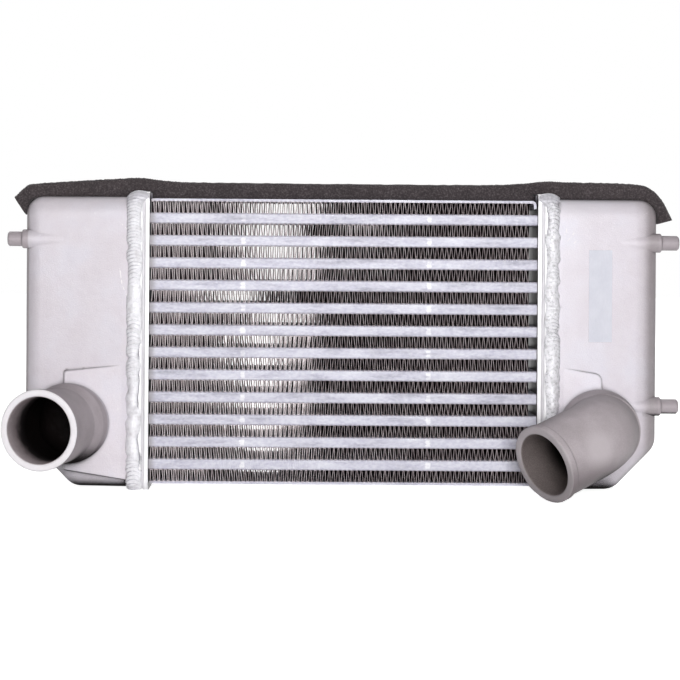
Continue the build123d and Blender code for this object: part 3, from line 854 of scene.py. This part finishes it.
right_shading = ((0.82, (1.0, 1.0, 1.0)), (0.88, (0.957, 0.948, 0.952)),
                 (0.945, (0.93, 0.915, 0.92)), (0.959, (0.74, 0.715, 0.715)),
                 (0.968, (0.49, 0.46, 0.45)))
# Bore tones by depth: painted shade on the left; brown dirt and painted shade on the right.
left_bore_shade = ((0.12, (0.64, 0.565, 0.585)), (0.42, (0.40, 0.335, 0.35)),
              (0.66, (0.015, 0.011, 0.012)))
right_bore_dirt_and_shade = ((0.12, (0.21, 0.175, 0.17)), (0.6, (0.14, 0.115, 0.11)), (1.0, (0.05, 0.04, 0.04)))
left_cast = cast_material("left casting", "left_hose_bead", True, left_scratches, left_stains,
                          left_shading, bore_edge=(0.0269, 0.0264), bore_end=0.060,
                          bore_shade_tones=left_bore_shade)
right_cast = cast_material("right casting", "right_hose_bead", False, right_scratches, right_stains,
                           right_shading, bore_edge=(0.0257, 0.0252), bore_end=0.043,
                           bore_shade_tones=right_bore_dirt_and_shade)
refinish(["left_tank"], left_cast)
refinish(["right_tank"], right_cast)

# ---- foam seal ----
# A strip of dark open-cell foam, glued over both tanks and the top of the core to close the gap
# to the body above. It is cut with a knife at both ends and pressed down over the corners.

foam_outer = ((-0.2670, 0.2345), (-0.2590, 0.2420), (-0.2510, 0.2452), (-0.2150, 0.2478),
              (-0.1830, 0.2498), (-0.1640, 0.2508), (-0.1440, 0.2485), (-0.1150, 0.2470),
              (0.0, 0.2468), (0.1150, 0.2468), (0.1440, 0.2482), (0.1640, 0.2501),
              (0.1830, 0.2498), (0.2340, 0.2486), (0.2490, 0.2450), (0.2590, 0.2352),
              (0.2675, 0.2193))
foam_inner = ((-0.2575, 0.2203), (-0.2550, 0.2270), (-0.2490, 0.2335), (-0.2150, 0.2350),
              (-0.1780, 0.2350), (-0.1700, 0.2392), (-0.1540, 0.2385), (-0.1450, 0.2338),
              (0.0, 0.2338), (0.1450, 0.2338), (0.1540, 0.2385), (0.1700, 0.2392),
              (0.1780, 0.2350), (0.2350, 0.2350), (0.2455, 0.2330), (0.2542, 0.2245),
              (0.2555, 0.2160))
foam_steps = 620
foam_thickness = 0.012
foam_corner = 0.0032
foam_margin = 0.0006
foam_swell = 0.0006
foam_pits = 0.00012
cell_count = 950


def smooth_line(points, places):
    """Points on the smooth curve that passes through the given ones: each stretch is a cubic
    whose direction at a given point is that of the line between its two neighbours."""
    given = np.array(points)
    stops = np.linspace(0, 1, len(given))
    slopes = np.gradient(given, stops, axis=0)
    part = np.clip((places * (len(given) - 1)).astype(int), 0, len(given) - 2)
    step = stops[1]
    t = ((places - stops[part]) / step)[:, None]
    return ((2 * t**3 - 3 * t**2 + 1) * given[part] + (t**3 - 2 * t**2 + t) * step * slopes[part]
            + (3 * t**2 - 2 * t**3) * given[part + 1] + (t**3 - t**2) * step * slopes[part + 1])


def foam_section(width, thickness, corner, per_corner=6, per_side=14, per_end=5):
    """Round a strip's section: a list of (across, up) shares, across from -1 to 1 and up from 0
    to 1, with corners that are quarter circles of the given radius."""
    turns = np.linspace(0, math.pi / 2, per_corner)
    a = 2 * corner / width
    b = corner / thickness
    along = np.linspace(-1 + a, 1 - a, per_side, endpoint=False)
    bottom = np.stack([along, np.zeros(per_side)], axis=1)
    right = np.stack([np.ones(per_end), np.linspace(b, 1 - b, per_end)], axis=1)[1:-1]
    low_corner = np.stack([1 - a + a * np.sin(turns), b - b * np.cos(turns)], axis=1)
    high_corner = np.stack([1 - a + a * np.cos(turns), 1 - b + b * np.sin(turns)], axis=1)
    half = np.concatenate([bottom[per_side // 2:], low_corner, right, high_corner])
    return np.concatenate([half, half[::-1] * (-1, 1)])


def foam_surface(draw, box):
    """Each station joins a point of the inner line to one of the outer line; the section is laid
    across it. Slow noise swells the strip and quick noise roughens it."""
    low, high = (np.array(corner) for corner in box)
    places = np.linspace(0, 1, foam_steps)
    outer = smooth_line(foam_outer, places)
    inner = smooth_line(foam_inner, places)
    section = foam_section(high[1] - low[1], foam_thickness, foam_corner)
    across = section[:, 0]
    up = section[:, 1]
    swell = foam_swell * slow_noise(draw, places, bumps=24, rough=0.9)
    rough = draw.normal(0, foam_pits, (foam_steps, len(section)))
    rough = (rough + np.roll(rough, 1, 0) + np.roll(rough, 1, 1)) / 1.7
    rise = up[None, :] + (swell[:, None] + rough) / foam_thickness * (up > 0.35)[None, :]
    half_width = (high[1] - low[1]) / 2 - foam_margin
    on_sides = np.sign(across) * (np.abs(across) > 0.9)
    sideways = half_width * across[None, :] + rough * on_sides[None, :]
    points = np.empty((foam_steps, len(section), 3))
    points[:, :, 0] = inner[:, :1] + (outer - inner)[:, :1] * rise
    points[:, :, 1] = (low[1] + high[1]) / 2 + sideways
    points[:, :, 2] = inner[:, 1:] + (outer - inner)[:, 1:] * rise
    return points


def foam_material():
    """Dark brown-grey foam with open cells, cell_count of them in a metre, and paler specks."""
    material, tree, shader, here = new_material("open foam", (0.07, 0.06, 0.06),
                                                metallic=0.0, roughness=0.92)
    cells = tree.nodes.new("ShaderNodeTexVoronoi")
    cells.inputs["Scale"].default_value = cell_count
    tree.links.new(here, cells.inputs["Vector"])
    specks = noise(tree, here, 0.0013, detail=3)
    colour = ramp(tree, specks, [(0.30, (0.032, 0.025, 0.027)), (0.52, (0.056, 0.044, 0.047)),
                                 (0.78, (0.13, 0.112, 0.116))])
    slow = noise(tree, here, 0.018, detail=2)
    colour = overlay(tree, 0.5, colour, slow, 0.42, 0.60, start=0.35)
    tree.links.new(colour, shader.inputs["Base Color"])
    pores = bump(tree, cells.outputs["Distance"], 0.0004, strength=0.7)
    tree.links.new(bump(tree, specks, 0.0003, strength=0.7, under=pores), shader.inputs["Normal"])
    shader.inputs["Sheen Weight"].default_value = 0.25
    return material


surface = foam_surface(np.random.default_rng(7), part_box("top_foam_seal"))
rows, ring = surface.shape[:2]
faces = grid_faces(rows, ring, columns_close=True).tolist()
faces += [list(range(ring))[::-1], list(range((rows - 1) * ring, rows * ring))]
foam = new_piece("foam_strip", surface.reshape(-1, 3), faces, foam_material(),
                 "top_foam_seal")

# ---- label ----
# A blank white sticker, stuck flat on the front of the right tank. Nothing is printed on it; only
# its paper's fibres and a few slightly worn places show.


def label_material():
    """Satin paper of a cool white, a little uneven in places."""
    material, tree, shader, here = new_material("blank sticker", (0.88, 0.89, 0.93),
                                                metallic=0.0, roughness=0.38)
    fibres = noise(tree, here, 0.0012, detail=4, stretch=(1, 1, 3))
    worn = noise(tree, here, 0.012, detail=3)
    paper = ramp(tree, fibres, [(0.3, (0.70, 0.705, 0.79)), (0.7, (0.77, 0.775, 0.86))])
    handled = ramp(tree, worn, [(0.35, (0.69, 0.695, 0.775)), (0.65, (0.78, 0.78, 0.855))])
    colour = mix(tree, 0.5, paper, handled)
    tree.links.new(colour, shader.inputs["Base Color"])
    tree.links.new(bump(tree, worn, 0.0001, strength=0.5), shader.inputs["Normal"])
    return material


refinish(["label"], label_material())

# ---- floor and studio ----
# The floor is plain white and keeps the object's shadow. The surround is dim as a light, but the
# camera sees it white, and so do reflections that look to the back, as in the clean foil. Three
# soft boxes, in front, above and behind, are the main light.

floor_half = 6.0
floor_drop = 0.0002
floor_glow = 0.93
surround = 0.09
backdrop_edge = (0.2, 0.6)
light_aim = (0, 0, 0.12)


def floor_material():
    """White to the camera and in reflections, with the shadow kept; plain white paint otherwise."""
    material, tree, shader, _ = new_material("white floor", (0.86, 0.86, 0.86),
                                             metallic=0.0, roughness=0.8)
    rays = tree.nodes.new("ShaderNodeLightPath").outputs
    seen = combine(tree, "MAXIMUM", rays["Is Camera Ray"], rays["Is Glossy Ray"])
    shader.inputs["Emission Color"].default_value = (1, 1, 1, 1)
    tree.links.new(times(tree, seen, floor_glow), shader.inputs["Emission Strength"])
    return material


corners = floor_half * np.array([(-1, -1, 0), (1, -1, 0), (1, 1, 0), (-1, 1, 0)])
corners -= (0, 0, floor_drop)
floor = mesh_object("floor", corners, [(0, 1, 2, 3)], floor_material(), smooth=False)

world = bpy.data.worlds.new("studio")
bpy.context.scene.world = world
world.use_nodes = True
studio = world.node_tree
sky = studio.nodes["Background"]
rays = studio.nodes.new("ShaderNodeLightPath").outputs
brightness = studio.nodes.new("ShaderNodeMapRange")
brightness.inputs["To Min"].default_value = surround
brightness.inputs["To Max"].default_value = 1.0
direction = studio.nodes.new("ShaderNodeTexCoord").outputs["Generated"]
behind = between(studio, split_axes(studio, direction)["Y"], *backdrop_edge)
seen = combine(studio, "MAXIMUM", times(studio, behind, rays["Is Glossy Ray"]), rays["Is Camera Ray"])
studio.links.new(seen, brightness.inputs["Value"])
studio.links.new(brightness.outputs["Result"], sky.inputs["Strength"])
sky.inputs["Color"].default_value = (1, 1, 1, 1)


def soft_box(name, place, size, power):
    """A square area light at place, pointed at light_aim."""
    light = bpy.data.lights.new(name, "AREA")
    light.shape = "SQUARE"
    light.size = size
    light.energy = power
    lamp = bpy.data.objects.new(name, light)
    lamp.location = place
    away = np.array(place) - np.array(light_aim)
    tilt = math.acos(away[2] / np.linalg.norm(away))
    lamp.rotation_euler = (tilt, 0, math.atan2(away[0], -away[1]))
    bpy.context.scene.collection.objects.link(lamp)


soft_box("front_box", (0.1, -2.7, 0.55), size=1.0, power=46)
soft_box("top_box", (0.1, -0.9, 2.2), size=1.4, power=10)
soft_box("back_box", (0.0, 2.2, 1.9), size=1.4, power=22)

# ---- camera ----
# It stands in front of the core, a little left of its middle and above its centre, and looks
# straight back with a very small roll. The picture is shifted so that it holds the whole cooler.

picture_side = 680
focal_pixels = 1750
sight_x = 284.9
sight_y = 249.8
sensor = 36.0
camera_place = (-0.047, -1.3878, 0.1931)
camera_roll = -0.40
camera_data = bpy.data.cameras.new("camera")
camera_data.sensor_width = sensor
camera_data.lens = focal_pixels / picture_side * sensor
camera_data.shift_x = (picture_side / 2 - sight_x) / picture_side
camera_data.shift_y = (sight_y - picture_side / 2) / picture_side
camera = bpy.data.objects.new("camera", camera_data)
camera.location = camera_place
camera.rotation_euler = (math.radians(90), math.radians(camera_roll), 0)
bpy.context.scene.collection.objects.link(camera)
bpy.context.scene.camera = camera
bpy.context.scene.view_settings.view_transform = "Standard"
